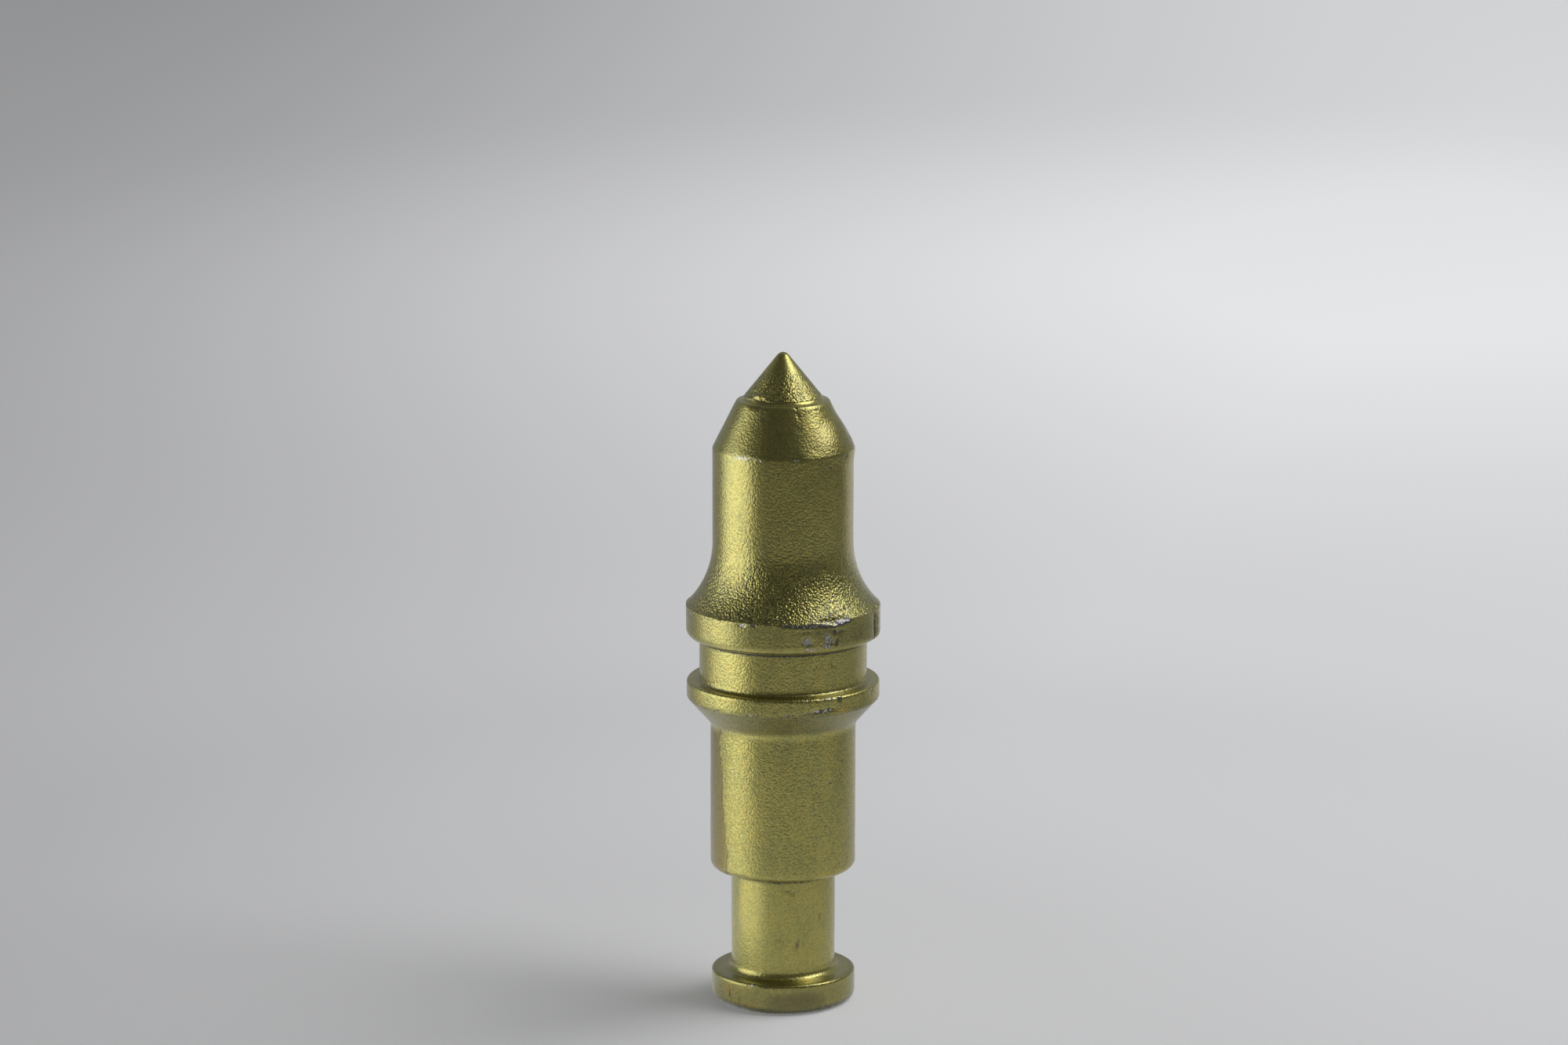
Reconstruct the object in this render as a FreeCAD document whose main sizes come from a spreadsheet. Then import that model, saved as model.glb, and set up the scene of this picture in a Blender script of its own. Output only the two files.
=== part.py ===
import FreeCAD, Part
import math
import os
import Sketcher

# Round-shank conical pick: a one-piece forged and turned steel body with a carbide plug brazed
# into its nose. The frame's origin is the centre of the tail face, +Z runs to the tip, and +X
# is to the right of someone who looks along +Y. Azimuths count from -Y towards +X.

# Driving dimensions: alias, millimetres or degrees, and what the size is
SIZES = [
    ("shank_dia", 30.0, "round shank that turns in the holder"),
    ("shank_length", 31.05, "shank from its lower end to the foot of the seat"),
    ("shank_bevel", 1.1, "bevelled lower edge of the shank"),
    ("neck_depth", 4.25, "how far the retainer neck lies below the shank"),
    ("neck_length", 21.85, "retainer neck between tail flange and shank"),
    ("neck_bevel", 0.9, "bevelled corner between the neck and the tail flange"),
    ("tail_clearance", 0.1, "how far the tail flange stays inside the shank's radius"),
    ("tail_height", 6.5, "thickness of the tail flange"),
    ("tail_foot_round", 1.9, "rounded lower edge of the tail flange"),
    ("tail_top_bevel", 0.5, "bevelled upper edge of the tail flange"),
    ("seat_width", 4.95, "how far the conical seat widens beyond the shank"),
    ("seat_angle", 42.0, "angle between the seat and the axis"),
    ("seat_fillet", 2.0, "fillet from the shank to the seat"),
    ("collar_height", 3.6, "straight rim of the collar above the seat"),
    ("collar_bevel", 0.5, "bevelled upper edge of the collar"),
    ("groove_depth", 2.65, "how far the puller groove lies below the collar"),
    ("groove_width", 9.1, "puller groove between collar and skirt"),
    ("groove_bevel", 0.5, "bevel in the lower corner of the puller groove"),
    ("skirt_overhang", 0.1, "how far the skirt reaches beyond the collar"),
    ("skirt_height", 6.6, "straight rim of the skirt"),
    ("skirt_bevel", 1.0, "bevelled lower edge of the skirt"),
    ("flare_height", 13.2, "hollow flare from the skirt up to the nose"),
    ("nose_dia", 29.0, "cylindrical nose"),
    ("nose_length", 19.6, "cylindrical nose up to its shoulder"),
    ("nose_cone_height", 10.0, "nose cone from the shoulder to the mouth of the socket"),
    ("lip_width", 1.25, "steel lip round the mouth of the socket"),
    ("lip_bevel", 0.3, "bevelled outer edge of the lip"),
    ("plug_dia", 16.0, "carbide plug"),
    ("plug_depth", 9.0, "stub of the plug below the mouth"),
    ("plug_chamfer", 1.0, "chamfer on the foot of the plug and at the bottom of the socket"),
    ("plug_land", 0.7, "straight side of the plug that stands above the mouth"),
    ("tip_angle", 38.8, "angle between the carbide cone and the axis"),
    ("tip_round", 1.5, "rounded point of the carbide cone"),
    ("braze_gap", 0.2, "braze film between the plug and its socket"),
    ("braze_hollow", 3.0, "radius of the hollow braze fillet at the foot of the cone"),
    ("bare_lip", 0.35, "part of the lip that the braze fillet leaves bare"),
    ("chip_azimuth", 31.0, "middle of the chip in the skirt's upper edge"),
    ("chip_tilt", 32.0, "how far the chipped facet faces upwards"),
    ("chip_depth", 0.45, "depth of the chip at the edge"),
    ("chip_hollow", 7.0, "radius of the hollow chipped facet"),
    ("chip_length", 12.0, "longest that the chip may run along the edge"),
    ("lap_azimuth", 70.6, "forging lap across the skirt's rim"),
    ("lap_depth", 0.35, "depth and half width of the forging lap"),
]

# Radii and stations along the axis, as expressions of the driving dimensions
SHANK_R = "(sizes.shank_dia / 2)"
NECK_R = f"({SHANK_R} - sizes.neck_depth)"
TAIL_R = f"({SHANK_R} - sizes.tail_clearance)"
COLLAR_R = f"({SHANK_R} + sizes.seat_width)"
GROOVE_R = f"({COLLAR_R} - sizes.groove_depth)"
SKIRT_R = f"({COLLAR_R} + sizes.skirt_overhang)"
NOSE_R = "(sizes.nose_dia / 2)"
PLUG_R = "(sizes.plug_dia / 2)"
SOCKET_R = f"({PLUG_R} + sizes.braze_gap)"
MOUTH_R = f"({SOCKET_R} + sizes.lip_width)"
BRAZE_R = f"({MOUTH_R} - sizes.bare_lip)"

NECK_FOOT = "sizes.tail_height"
SHANK_FOOT = f"({NECK_FOOT} + sizes.neck_length)"
SEAT_FOOT = f"({SHANK_FOOT} + sizes.shank_length)"
COLLAR_FOOT = f"({SEAT_FOOT} + sizes.seat_width / tan(sizes.seat_angle))"
GROOVE_FOOT = f"({COLLAR_FOOT} + sizes.collar_height)"
SKIRT_FOOT = f"({GROOVE_FOOT} + sizes.groove_width)"
FLARE_FOOT = f"({SKIRT_FOOT} + sizes.skirt_height)"
NOSE_FOOT = f"({FLARE_FOOT} + sizes.flare_height)"
SHOULDER = f"({NOSE_FOOT} + sizes.nose_length)"
MOUTH = f"({SHOULDER} + sizes.nose_cone_height)"

# The flare is one arc that leaves the nose along the axis, so its size follows from its ends
FLARE_STEP = f"({SKIRT_R} - {NOSE_R})"
FLARE_RADIUS = f"(({FLARE_STEP}^2 + sizes.flare_height^2) / (2 * {FLARE_STEP}))"

# Heights from here down count from the mouth of the socket, where plug and braze are placed
PLUG_FLOOR = "(-sizes.plug_depth)"
SOCKET_FLOOR = f"({PLUG_FLOOR} - sizes.braze_gap)"
TIP_CENTRE = (f"(sizes.plug_land + {PLUG_R} / tan(sizes.tip_angle)"
              " - sizes.tip_round / sin(sizes.tip_angle))")
TIP_APEX = f"({TIP_CENTRE} + sizes.tip_round)"
TIP_EDGE_R = "(sizes.tip_round * cos(sizes.tip_angle))"
TIP_EDGE = f"({TIP_CENTRE} + sizes.tip_round * sin(sizes.tip_angle))"

# Worked edges of the body: the size, the feature, the wall that limits it, where its edges lie
OUTER_SHARE = 0.6
INNER_SHARE = 0.3
ROUND, BEVEL = ("PartDesign::Fillet", "Radius"), ("PartDesign::Chamfer", "Size")
EDGES = [
    ("tail_foot_round", ROUND, OUTER_SHARE, "sizes.tail_height", [(TAIL_R, "0")]),
    ("tail_top_bevel", BEVEL, INNER_SHARE, "sizes.tail_height", [(TAIL_R, NECK_FOOT)]),
    ("neck_bevel", BEVEL, OUTER_SHARE, "sizes.neck_depth", [(NECK_R, NECK_FOOT)]),
    ("shank_bevel", BEVEL, OUTER_SHARE, "sizes.neck_depth", [(SHANK_R, SHANK_FOOT)]),
    ("seat_fillet", ROUND, OUTER_SHARE, "sizes.seat_width", [(SHANK_R, SEAT_FOOT)]),
    ("collar_bevel", BEVEL, INNER_SHARE, "sizes.collar_height", [(COLLAR_R, GROOVE_FOOT)]),
    ("groove_bevel", BEVEL, INNER_SHARE, "sizes.groove_depth", [(GROOVE_R, GROOVE_FOOT)]),
    ("skirt_bevel", BEVEL, OUTER_SHARE, "sizes.groove_depth", [(SKIRT_R, SKIRT_FOOT)]),
    ("lip_bevel", BEVEL, INNER_SHARE, "sizes.lip_width", [(MOUTH_R, MOUTH)]),
]

# Sketcher's own numbers for the origin, for the axes and for the first and last point of an edge
ORIGIN = (-1, 1)
AXIS = {"radius": -1, "height": -2}
ENDS = (1, 2)

# The side of the way up an outline to which an arc bulges, and how close counts as the same
SIDE = {"hollow": 1, "full": -1}
NEAR = 1e-4

doc = FreeCAD.newDocument("conical_pick")


def make_sheet():
    """Driving dimensions, one a row: what it is, its value and its alias."""
    sheet = doc.addObject("Spreadsheet::Sheet", "sizes")
    for row, (alias, size, meaning) in enumerate(SIZES, start=1):
        sheet.set(f"A{row}", meaning)
        sheet.set(f"B{row}", str(size))
        sheet.setAlias(f"B{row}", alias)
    doc.recompute()
    return sheet


sheet = make_sheet()


def number(expression):
    """The present value of an expression of the driving dimensions."""
    value = sheet.evalExpression(expression)
    return float(getattr(value, "Value", value))


def spot(corner):
    radius, height = corner
    return FreeCAD.Vector(number(radius), number(height), 0)


def new_body(label):
    body = doc.addObject("PartDesign::Body", label)
    body.Label = label
    return body


def new_sketch(body, name):
    """A sketch on the body's XZ plane: its X is the radius and its Y the height."""
    plane = next(item for item in body.Origin.OriginFeatures if item.Role == "XZ_Plane")
    sketch = body.newObject("Sketcher::SketchObject", name)
    sketch.AttachmentSupport = (plane, [""])
    sketch.MapMode = "FlatFace"
    return sketch


def bind(sketch, kind, where, size):
    """Adds a dimension to the sketch and ties it to the driving dimensions."""
    index = sketch.addConstraint(Sketcher.Constraint(kind, *where, number(size)))
    sketch.setExpression(f"Constraints[{index}]", size)


def set_radius(sketch, point, radius):
    if radius == "0":
        sketch.addConstraint(Sketcher.Constraint("PointOnObject", *point, AXIS["height"]))
    else:
        bind(sketch, "DistanceX", (*ORIGIN, *point), radius)


def set_height(sketch, point, height):
    if height == "0":
        sketch.addConstraint(Sketcher.Constraint("PointOnObject", *point, AXIS["radius"]))
    else:
        bind(sketch, "DistanceY", (*ORIGIN, *point), height)


def arc_between(first, last, radius, side):
    """Arc from first to last that bulges to the given side of the way between them."""
    chord = last - first
    sag = radius - math.sqrt(radius**2 - (chord.Length / 2) ** 2)
    left = FreeCAD.Vector(-chord.y, chord.x, 0).normalize()
    return Part.Arc(first, (first + last) / 2 + left * SIDE[side] * sag, last)


def outline(sketch, corners, arcs=None, smooth=()):
    """Closed outline through the corners, each a radius and a height, fully dimensioned.

    The corners run up the outside. arcs gives, by its first corner, the radius of each edge
    that is an arc, and whether it is hollow or full. smooth lists the corners where an arc
    runs on without a kink, which settles its radius.
    """
    arcs = arcs or {}
    spots = [spot(corner) for corner in corners]
    count = len(corners)
    edges = []
    for here, first in enumerate(spots):
        last = spots[(here + 1) % count]
        if here in arcs:
            radius, side = arcs[here]
            edge = sketch.addGeometry(arc_between(first, last, number(radius), side))
        else:
            edge = sketch.addGeometry(Part.LineSegment(first, last))
        forward = sketch.getPoint(edge, ENDS[0]).distanceToPoint(first) < NEAR
        edges.append([(edge, end) for end in (ENDS if forward else reversed(ENDS))])
    for here in range(count):
        before = edges[here - 1]
        joint = "Tangent" if here in smooth else "Coincident"
        sketch.addConstraint(Sketcher.Constraint(joint, *before[1], *edges[here][0]))
        straight = here > 0 and here - 1 not in arcs
        radius, height = corners[here]
        if straight and radius == corners[here - 1][0] and radius != "0":
            sketch.addConstraint(Sketcher.Constraint("Vertical", before[0][0]))
        else:
            set_radius(sketch, edges[here][0], radius)
        if straight and height == corners[here - 1][1]:
            sketch.addConstraint(Sketcher.Constraint("Horizontal", before[0][0]))
        else:
            set_height(sketch, edges[here][0], height)
    for first, (radius, side) in arcs.items():
        if not {first, first + 1} & set(smooth):
            bind(sketch, "Radius", (edges[first][0][0],), radius)


def turn(body, kind, name, corners, arcs=None, smooth=()):
    """Turns an outline about the axis, as a solid or as a cut."""
    sketch = new_sketch(body, f"{name}_outline")
    outline(sketch, corners, arcs, smooth)
    feature = body.newObject(kind, name)
    feature.Profile = sketch
    feature.ReferenceAxis = (sketch, ["V_Axis"])
    feature.Angle = 360
    sketch.Visibility = False
    doc.recompute()
    assert sketch.FullyConstrained, f"{name} isn't fully dimensioned"


def circles(body, places):
    """Names of the body's circular edges at the given radii and heights."""
    names = []
    for radius, height in places:
        wanted = spot((radius, height))
        for index, edge in enumerate(body.Tip.Shape.Edges, start=1):
            if not isinstance(edge.Curve, Part.Circle):
                continue
            misfit = abs(edge.Curve.Radius - wanted.x) + abs(edge.Curve.Center.z - wanted.y)
            if misfit < NEAR:
                names.append(f"Edge{index}")
    return names


def work_edges(body):
    """Rounds, fillets and bevels, each held within its share of the wall beside it."""
    for name, (kind, size), share, wall, places in EDGES:
        names = circles(body, places)
        assert len(names) == len(places), f"{name} finds {len(names)} edges"
        base = body.Tip
        feature = body.newObject(kind, name)
        feature.Base = (base, names)
        feature.setExpression(size, f"min(sizes.{name}; {share} * {wall})")
        doc.recompute()


def cut_cylinder(body, name, radius, length, centre, azimuth, pitch):
    """Cuts a cylinder whose middle lies at a radius and a height, at an azimuth.

    Its axis runs along the body's own axis, or along the rim where the pitch is 90 degrees.
    """
    away, height = centre
    rim, rise = f"{length} / 2 * sin({pitch})", f"{length} / 2 * cos({pitch})"
    across = f"({away} * sin({azimuth}) - {rim} * cos({azimuth}))"
    depth = f"(-{away} * cos({azimuth}) - {rim} * sin({azimuth}))"
    before = body.Tip.Shape.Volume
    cut = body.newObject("PartDesign::SubtractiveCylinder", name)
    cut.setExpression("Radius", radius)
    cut.setExpression("Height", length)
    base = f"vector({across}; {depth}; {height} - {rise})"
    cut.setExpression("Placement", f"placement({base}; rotation({azimuth}; {pitch}; 0))")
    doc.recompute()
    assert body.Tip.Shape.Volume < before - NEAR, f"{name} cuts nothing"


def chamfered_foot(radius, floor):
    """Corners of a round foot on its floor, from the axis out to its side."""
    return [
        ("0", floor),
        (f"({radius} - sizes.plug_chamfer)", floor),
        (radius, f"({floor} + sizes.plug_chamfer)"),
    ]


def make_pick_body():
    """Forged and turned steel body, its socket, and the damage that it has taken."""
    body = new_body("pick_body")
    corners = [
        ("0", "0"),
        (TAIL_R, "0"),
        (TAIL_R, NECK_FOOT),
        (NECK_R, NECK_FOOT),
        (NECK_R, SHANK_FOOT),
        (SHANK_R, SHANK_FOOT),
        (SHANK_R, SEAT_FOOT),
        (COLLAR_R, COLLAR_FOOT),
        (COLLAR_R, GROOVE_FOOT),
        (GROOVE_R, GROOVE_FOOT),
        (GROOVE_R, SKIRT_FOOT),
        (SKIRT_R, SKIRT_FOOT),
        (SKIRT_R, FLARE_FOOT),
        (NOSE_R, NOSE_FOOT),
        (NOSE_R, SHOULDER),
        (MOUTH_R, MOUTH),
        ("0", MOUTH),
    ]
    flare, nose = corners.index((SKIRT_R, FLARE_FOOT)), corners.index((NOSE_R, NOSE_FOOT))
    arcs = {flare: (FLARE_RADIUS, "hollow")}
    turn(body, "PartDesign::Revolution", "turned_body", corners, arcs, smooth={nose})
    work_edges(body)
    cut_socket(body)
    chip_reach = "(sizes.chip_hollow - sizes.chip_depth)"
    chip_centre = (f"({SKIRT_R} + {chip_reach} * cos(sizes.chip_tilt))",
                   f"({FLARE_FOOT} + {chip_reach} * sin(sizes.chip_tilt))")
    cut_cylinder(body, "skirt_chip", "sizes.chip_hollow", "sizes.chip_length",
                 chip_centre, "sizes.chip_azimuth", "90")
    lap_centre = (SKIRT_R, f"({SKIRT_FOOT} + sizes.skirt_height / 2)")
    cut_cylinder(body, "forging_lap", "sizes.lap_depth", "sizes.skirt_height",
                 lap_centre, "sizes.lap_azimuth", "0")
    return body


def cut_socket(body):
    """Blind socket that the plug is brazed into."""
    before = body.Tip.Shape.Volume
    foot = chamfered_foot(SOCKET_R, f"({MOUTH} + {SOCKET_FLOOR})")
    turn(body, "PartDesign::Groove", "socket", foot + [(SOCKET_R, MOUTH), ("0", MOUTH)])
    assert body.Tip.Shape.Volume < before - NEAR, "the socket cuts nothing"


def seat_in_mouth(body):
    """Places a body whose own heights count from the mouth of the socket."""
    body.setExpression("Placement.Base.z", MOUTH)


def make_carbide_tip():
    """Carbide plug: a stub with a chamfered foot under a cone with a rounded point."""
    body = new_body("carbide_tip")
    corners = chamfered_foot(PLUG_R, PLUG_FLOOR)
    corners += [(PLUG_R, "sizes.plug_land"), (TIP_EDGE_R, TIP_EDGE), ("0", TIP_APEX)]
    point = corners.index((TIP_EDGE_R, TIP_EDGE))
    arcs = {point: ("sizes.tip_round", "full")}
    turn(body, "PartDesign::Revolution", "plug", corners, arcs, smooth={point})
    seat_in_mouth(body)
    return body


def make_braze_joint():
    """Braze film that fills the socket round the plug and ends in a hollow fillet."""
    body = new_body("braze_joint")
    corners = chamfered_foot(SOCKET_R, SOCKET_FLOOR)
    corners += [(SOCKET_R, "0"), (BRAZE_R, "0"), (PLUG_R, "sizes.plug_land")]
    corners += reversed(chamfered_foot(PLUG_R, PLUG_FLOOR))
    fillet = corners.index((BRAZE_R, "0"))
    turn(body, "PartDesign::Revolution", "film", corners, {fillet: ("sizes.braze_hollow", "hollow")})
    seat_in_mouth(body)
    return body


def check(bodies):
    """Stops before anything is written if an object failed or a shape isn't one valid solid."""
    doc.recompute()
    for item in doc.Objects:
        assert not {"Invalid", "Error"} & set(item.State), f"{item.Name} failed: {item.State}"
    for body in bodies:
        shape = body.Shape
        assert not shape.isNull() and shape.isValid(), f"{body.Label} is not valid"
        assert len(shape.Solids) == 1, f"{body.Label} has {len(shape.Solids)} solids"


bodies = [make_pick_body(), make_carbide_tip(), make_braze_joint()]
check(bodies)
os.makedirs("parts", exist_ok=True)
for body in bodies:
    body.Shape.exportStep(f"parts/{body.Label}.step")
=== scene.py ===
# Looks of a painted round-shank conical pick: steel body, carbide point and the braze between them.
# The part's lengths are in millimetres and the studio's in metres. Angles are in degrees.
# Azimuths count from -Y, the side that the camera looks at, towards +X.
import math
from collections import namedtuple

import bpy
import numpy as np
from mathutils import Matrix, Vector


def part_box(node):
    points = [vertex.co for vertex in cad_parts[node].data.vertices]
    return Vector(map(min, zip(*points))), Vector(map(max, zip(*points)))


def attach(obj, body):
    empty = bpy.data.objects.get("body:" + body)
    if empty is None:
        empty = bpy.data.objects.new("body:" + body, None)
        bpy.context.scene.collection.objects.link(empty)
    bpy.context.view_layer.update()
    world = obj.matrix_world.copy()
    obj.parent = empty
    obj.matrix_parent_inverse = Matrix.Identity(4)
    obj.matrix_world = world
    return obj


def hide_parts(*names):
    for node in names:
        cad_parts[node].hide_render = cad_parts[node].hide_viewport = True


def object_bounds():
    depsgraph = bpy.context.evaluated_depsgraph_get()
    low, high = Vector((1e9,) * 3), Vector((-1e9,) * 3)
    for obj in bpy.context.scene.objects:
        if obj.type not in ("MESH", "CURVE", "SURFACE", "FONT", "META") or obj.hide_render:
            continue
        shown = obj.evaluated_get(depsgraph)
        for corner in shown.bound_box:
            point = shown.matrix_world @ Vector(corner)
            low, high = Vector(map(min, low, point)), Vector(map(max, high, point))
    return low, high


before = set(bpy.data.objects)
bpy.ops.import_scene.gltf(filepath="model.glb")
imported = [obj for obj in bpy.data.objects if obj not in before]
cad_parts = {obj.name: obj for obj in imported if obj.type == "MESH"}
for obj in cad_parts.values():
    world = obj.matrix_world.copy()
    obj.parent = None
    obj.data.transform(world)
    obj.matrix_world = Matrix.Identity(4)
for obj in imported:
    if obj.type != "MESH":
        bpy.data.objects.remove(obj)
cad_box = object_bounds()

MM = 0.001
BODY_NODE, TIP_NODE, BRAZE_NODE = "pick_body", "carbide_tip", "braze_joint"

# Heights along the axis
SKIRT_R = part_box(BODY_NODE)[1].x / MM
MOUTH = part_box(BODY_NODE)[1].z / MM
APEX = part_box(TIP_NODE)[1].z / MM
NECK_FOOT = 6.5
SHANK_FOOT = 28.35
SEAT_FOOT = 59.4
COLLAR_FOOT = 64.9
GROOVE_FOOT = 68.5
SKIRT_FOOT = 77.6
FLARE_FOOT = 84.2
NOSE_FOOT = 97.4
SHOULDER = 117.0

# Radii
TAIL_R = 14.9
NECK_R = 10.75
SHANK_R = 15.0
COLLAR_R = 19.95
GROOVE_R = 17.3
NOSE_R = 14.5
LIP_R = 9.45
SOCKET_R = 8.2
PLUG_R = 8.0
BRAZE_R = 9.25

# Plug and socket
PLUG_FLOOR = MOUTH - 9.0
SOCKET_FLOOR = PLUG_FLOOR - 0.2
PLUG_CHAMFER = 1.0
CONE_FOOT = MOUTH + 0.7
TIP_ANGLE = 38.8
TIP_ROUND = 1.5
TIP_SLOPE = math.tan(math.radians(TIP_ANGLE))

# The braze's rim lies just under the lip, and its fillet climbs the foot of the cone
BRAZE_RIM = MOUTH - 0.075
BRAZE_CLIMB = 0.55

# The flare is one arc that leaves the nose along the axis and ends at the skirt's edge. The
# tangents at its two ends meet at the corner
FLARE_STEP = SKIRT_R - NOSE_R
FLARE_HEIGHT = NOSE_FOOT - FLARE_FOOT
FLARE_ROUND = (FLARE_STEP**2 + FLARE_HEIGHT**2) / (2 * FLARE_STEP)
FLARE_TURN = math.asin(FLARE_HEIGHT / FLARE_ROUND)
FLARE_CORNER = NOSE_FOOT - FLARE_ROUND * math.tan(FLARE_TURN / 2)

# Outlines from the axis out and back: radius, height, rounding, and mesh spacing after the corner
COARSE, PLAIN, FINE = 3.0, 0.5, 0.3
BODY_OUTLINE = [
    (0, 0, 0, COARSE),
    (TAIL_R, 0, 1.9, PLAIN),
    (TAIL_R, NECK_FOOT, 0.6, PLAIN),
    (NECK_R, NECK_FOOT, 1.5, PLAIN),
    (NECK_R, SHANK_FOOT, 0.8, PLAIN),
    (SHANK_R, SHANK_FOOT, 1.6, PLAIN),
    (SHANK_R, SEAT_FOOT, 2.5, PLAIN),
    (COLLAR_R, COLLAR_FOOT, 0.8, FINE),
    (COLLAR_R, GROOVE_FOOT, 0.6, PLAIN),
    (GROOVE_R, GROOVE_FOOT, 0.7, PLAIN),
    (GROOVE_R, SKIRT_FOOT, 0.5, PLAIN),
    (SKIRT_R, SKIRT_FOOT, 1.6, FINE),
    (SKIRT_R, FLARE_FOOT, 0.3, FINE),
    (NOSE_R, FLARE_CORNER, FLARE_ROUND, PLAIN),
    (NOSE_R, SHOULDER, 1.2, PLAIN),
    (LIP_R, MOUTH, 0.75, FINE),
    (SOCKET_R, MOUTH, 0, COARSE),
    (SOCKET_R, SOCKET_FLOOR + PLUG_CHAMFER, 0, COARSE),
    (SOCKET_R - PLUG_CHAMFER, SOCKET_FLOOR, 0, COARSE),
    (0, SOCKET_FLOOR, 0, COARSE),
]
TIP_OUTLINE = [
    (0, PLUG_FLOOR, 0, COARSE),
    (PLUG_R - PLUG_CHAMFER, PLUG_FLOOR, 0, COARSE),
    (PLUG_R, PLUG_FLOOR + PLUG_CHAMFER, 0, COARSE),
    (PLUG_R, CONE_FOOT, 0.15, FINE),
    (0, CONE_FOOT + PLUG_R / TIP_SLOPE, TIP_ROUND, FINE),
]
BRAZE_OUTLINE = [
    (0, SOCKET_FLOOR, 0, COARSE),
    (SOCKET_R - PLUG_CHAMFER, SOCKET_FLOOR, 0, COARSE),
    (SOCKET_R, SOCKET_FLOOR + PLUG_CHAMFER, 0, COARSE),
    (SOCKET_R, BRAZE_RIM, 0, FINE),
    (BRAZE_R, BRAZE_RIM, 0, FINE),
    (SOCKET_R + 0.05, MOUTH + 0.1, 0.9, FINE),
    (PLUG_R - BRAZE_CLIMB * TIP_SLOPE + 0.02, CONE_FOOT + BRAZE_CLIMB, 0, FINE),
    (PLUG_R, CONE_FOOT, 0, COARSE),
    (PLUG_R, PLUG_FLOOR + PLUG_CHAMFER, 0, COARSE),
    (PLUG_R - PLUG_CHAMFER, PLUG_FLOOR, 0, COARSE),
    (0, PLUG_FLOOR, 0, COARSE),
]

# Columns of the mesh: the azimuth from which they stand so many degrees apart. They stand closer on
# the damaged side, and closest at the chip, where the rows do too
COLUMN_STEPS = [(10, 0.5), (48, 0.85), (84, 1.7), (370, 0)]
CHIP_FROM, CHIP_TO = FLARE_FOOT - 1.2, FLARE_FOOT + 2.4

# The fewest steps of a rounded corner. Points nearer to the axis than this lie on it, and marks
# nearer than this are laid out as if they lay here
LEAST_STEPS = 4
ON_AXIS = 1e-6
LEAST_RADIUS = 1

# Edges that fold more than this stay sharp
FOLD = 50

# The forging's unevenness keeps this far from the axis and from the lip
CALM_RADIUS, CALM_LIP = 3, 0.3

# How strongly the shot-blasted grain shows through the paint, by height, for each piece
BODY_GRAIN = [
    (0, 0.22),
    (NECK_FOOT, 0.23),
    (SHANK_FOOT - 1, 0.23),
    (SHANK_FOOT + 4, 0.4),
    (SEAT_FOOT, 0.38),
    (COLLAR_FOOT, 0.35),
    (GROOVE_FOOT, 0.38),
    (SKIRT_FOOT, 0.3),
    (FLARE_FOOT - 0.6, 0.3),
    (FLARE_FOOT + 0.3, 1.0),
    (FLARE_FOOT + 6, 0.9),
    (NOSE_FOOT, 0.4),
    (NOSE_FOOT + 6, 0.32),
    (SHOULDER - 1, 0.3),
    (SHOULDER + 1, 0.29),
    (MOUTH - 3, 0.26),
    (MOUTH - 0.8, 0.3),
    (MOUTH, 0.15),
]
TIP_GRAIN = [
    (CONE_FOOT, 0.85),
    (CONE_FOOT + 4, 0.8),
    (CONE_FOOT + 6, 0.2),
    (APEX, 0.1),
]
BRAZE_GRAIN = [(MOUTH + 0.4, 0.15), (CONE_FOOT + 0.3, 0.9)]

# Chip in the skirt's upper edge: a hollow facet, cut by a cylinder that lies along the edge
CHIP_AZIMUTH, CHIP_TILT = 31, 32
CHIP_DEPTH, CHIP_HOLLOW, CHIP_REACH = 0.45, 7.0, 6.0

# Beyond its reach the cylinder draws back, by the taper and over the fade
CHIP_TAPER, CHIP_FADE = 2, 1.5

# The metal is bare on the chip's right and up to a little over the edge, and less so on its left.
# The rim is darkened as painted shadow under the paint's edge, and less so over the edge
BARE_LEFT, BARE_SPAN, BARE_LEAST, BARE_TOP = -0.2, 1.4, 0.42, 0.48
RIM_AWAY, RIM_HALF, RIM_END, RIM_ABOVE = 0.12, 0.2, 1.4, 0.4

# Over how much the bare metal sets in from the cut and ends over the edge, how much painted shade
# the rim gets and half its width, and how deep the fine and the coarse tears go
BARE_FADE, BARE_TOP_FADE = 0.1, 0.3
RIM_SHADE, RIM_SHADE_HALF = 0.4, 0.5
FINE_TEAR, COARSE_TEAR = 0.16, 0.14

# Right edge of a strip of painted shade, thicker and smoother, down the left of the shank: height
# and azimuth
STRIP_EDGE = [(28, -52), (29.5, -52), (33, -49), (38.5, -54), (56.5, -60), (60, -57)]
STRIP_BACK = -104

# How far the strip's edge wanders, how much of the grain it hides, how much painted shade darkens
# it, the width and painted shade of the darker line along its edge, and its thickness
STRIP_WANDER, STRIP_SMOOTH, STRIP_SHADE = 1.6, 0.9, 0.58
STRIP_LINE, STRIP_LINE_SHADE, STRIP_THICKNESS = 3, 0.85, 0.08

# Over how many degrees it fades at its right and back edges, and over what height at its foot and
# top
STRIP_FADE, BACK_FADE, FOOT_FADE, TOP_FADE = 2.5, 8, 0.5, 2

# Darkening by height, on the body and on the two other pieces; on the body it is painted shade on
# the seat under the collar and on the skirt's side
BODY_SOOT_AND_SHADE = [
    (0, 0.45),
    (NECK_FOOT - 2, 0.4),
    (NECK_FOOT, 0.2),
    (NECK_FOOT + 2, 0),
    (SEAT_FOOT, 0),
    (SEAT_FOOT + 1.5, 0.5),
    (COLLAR_FOOT - 0.5, 0.5),
    (COLLAR_FOOT + 1, 0.05),
    (GROOVE_FOOT, 0),
    (SKIRT_FOOT, 0),
    (SKIRT_FOOT + 1, 0.22),
    (FLARE_FOOT, 0.22),
    (FLARE_FOOT + 1, 0.15),
    (MOUTH, 0.15),
]
TIP_SOOT = [(MOUTH, 0.1)]
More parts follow.
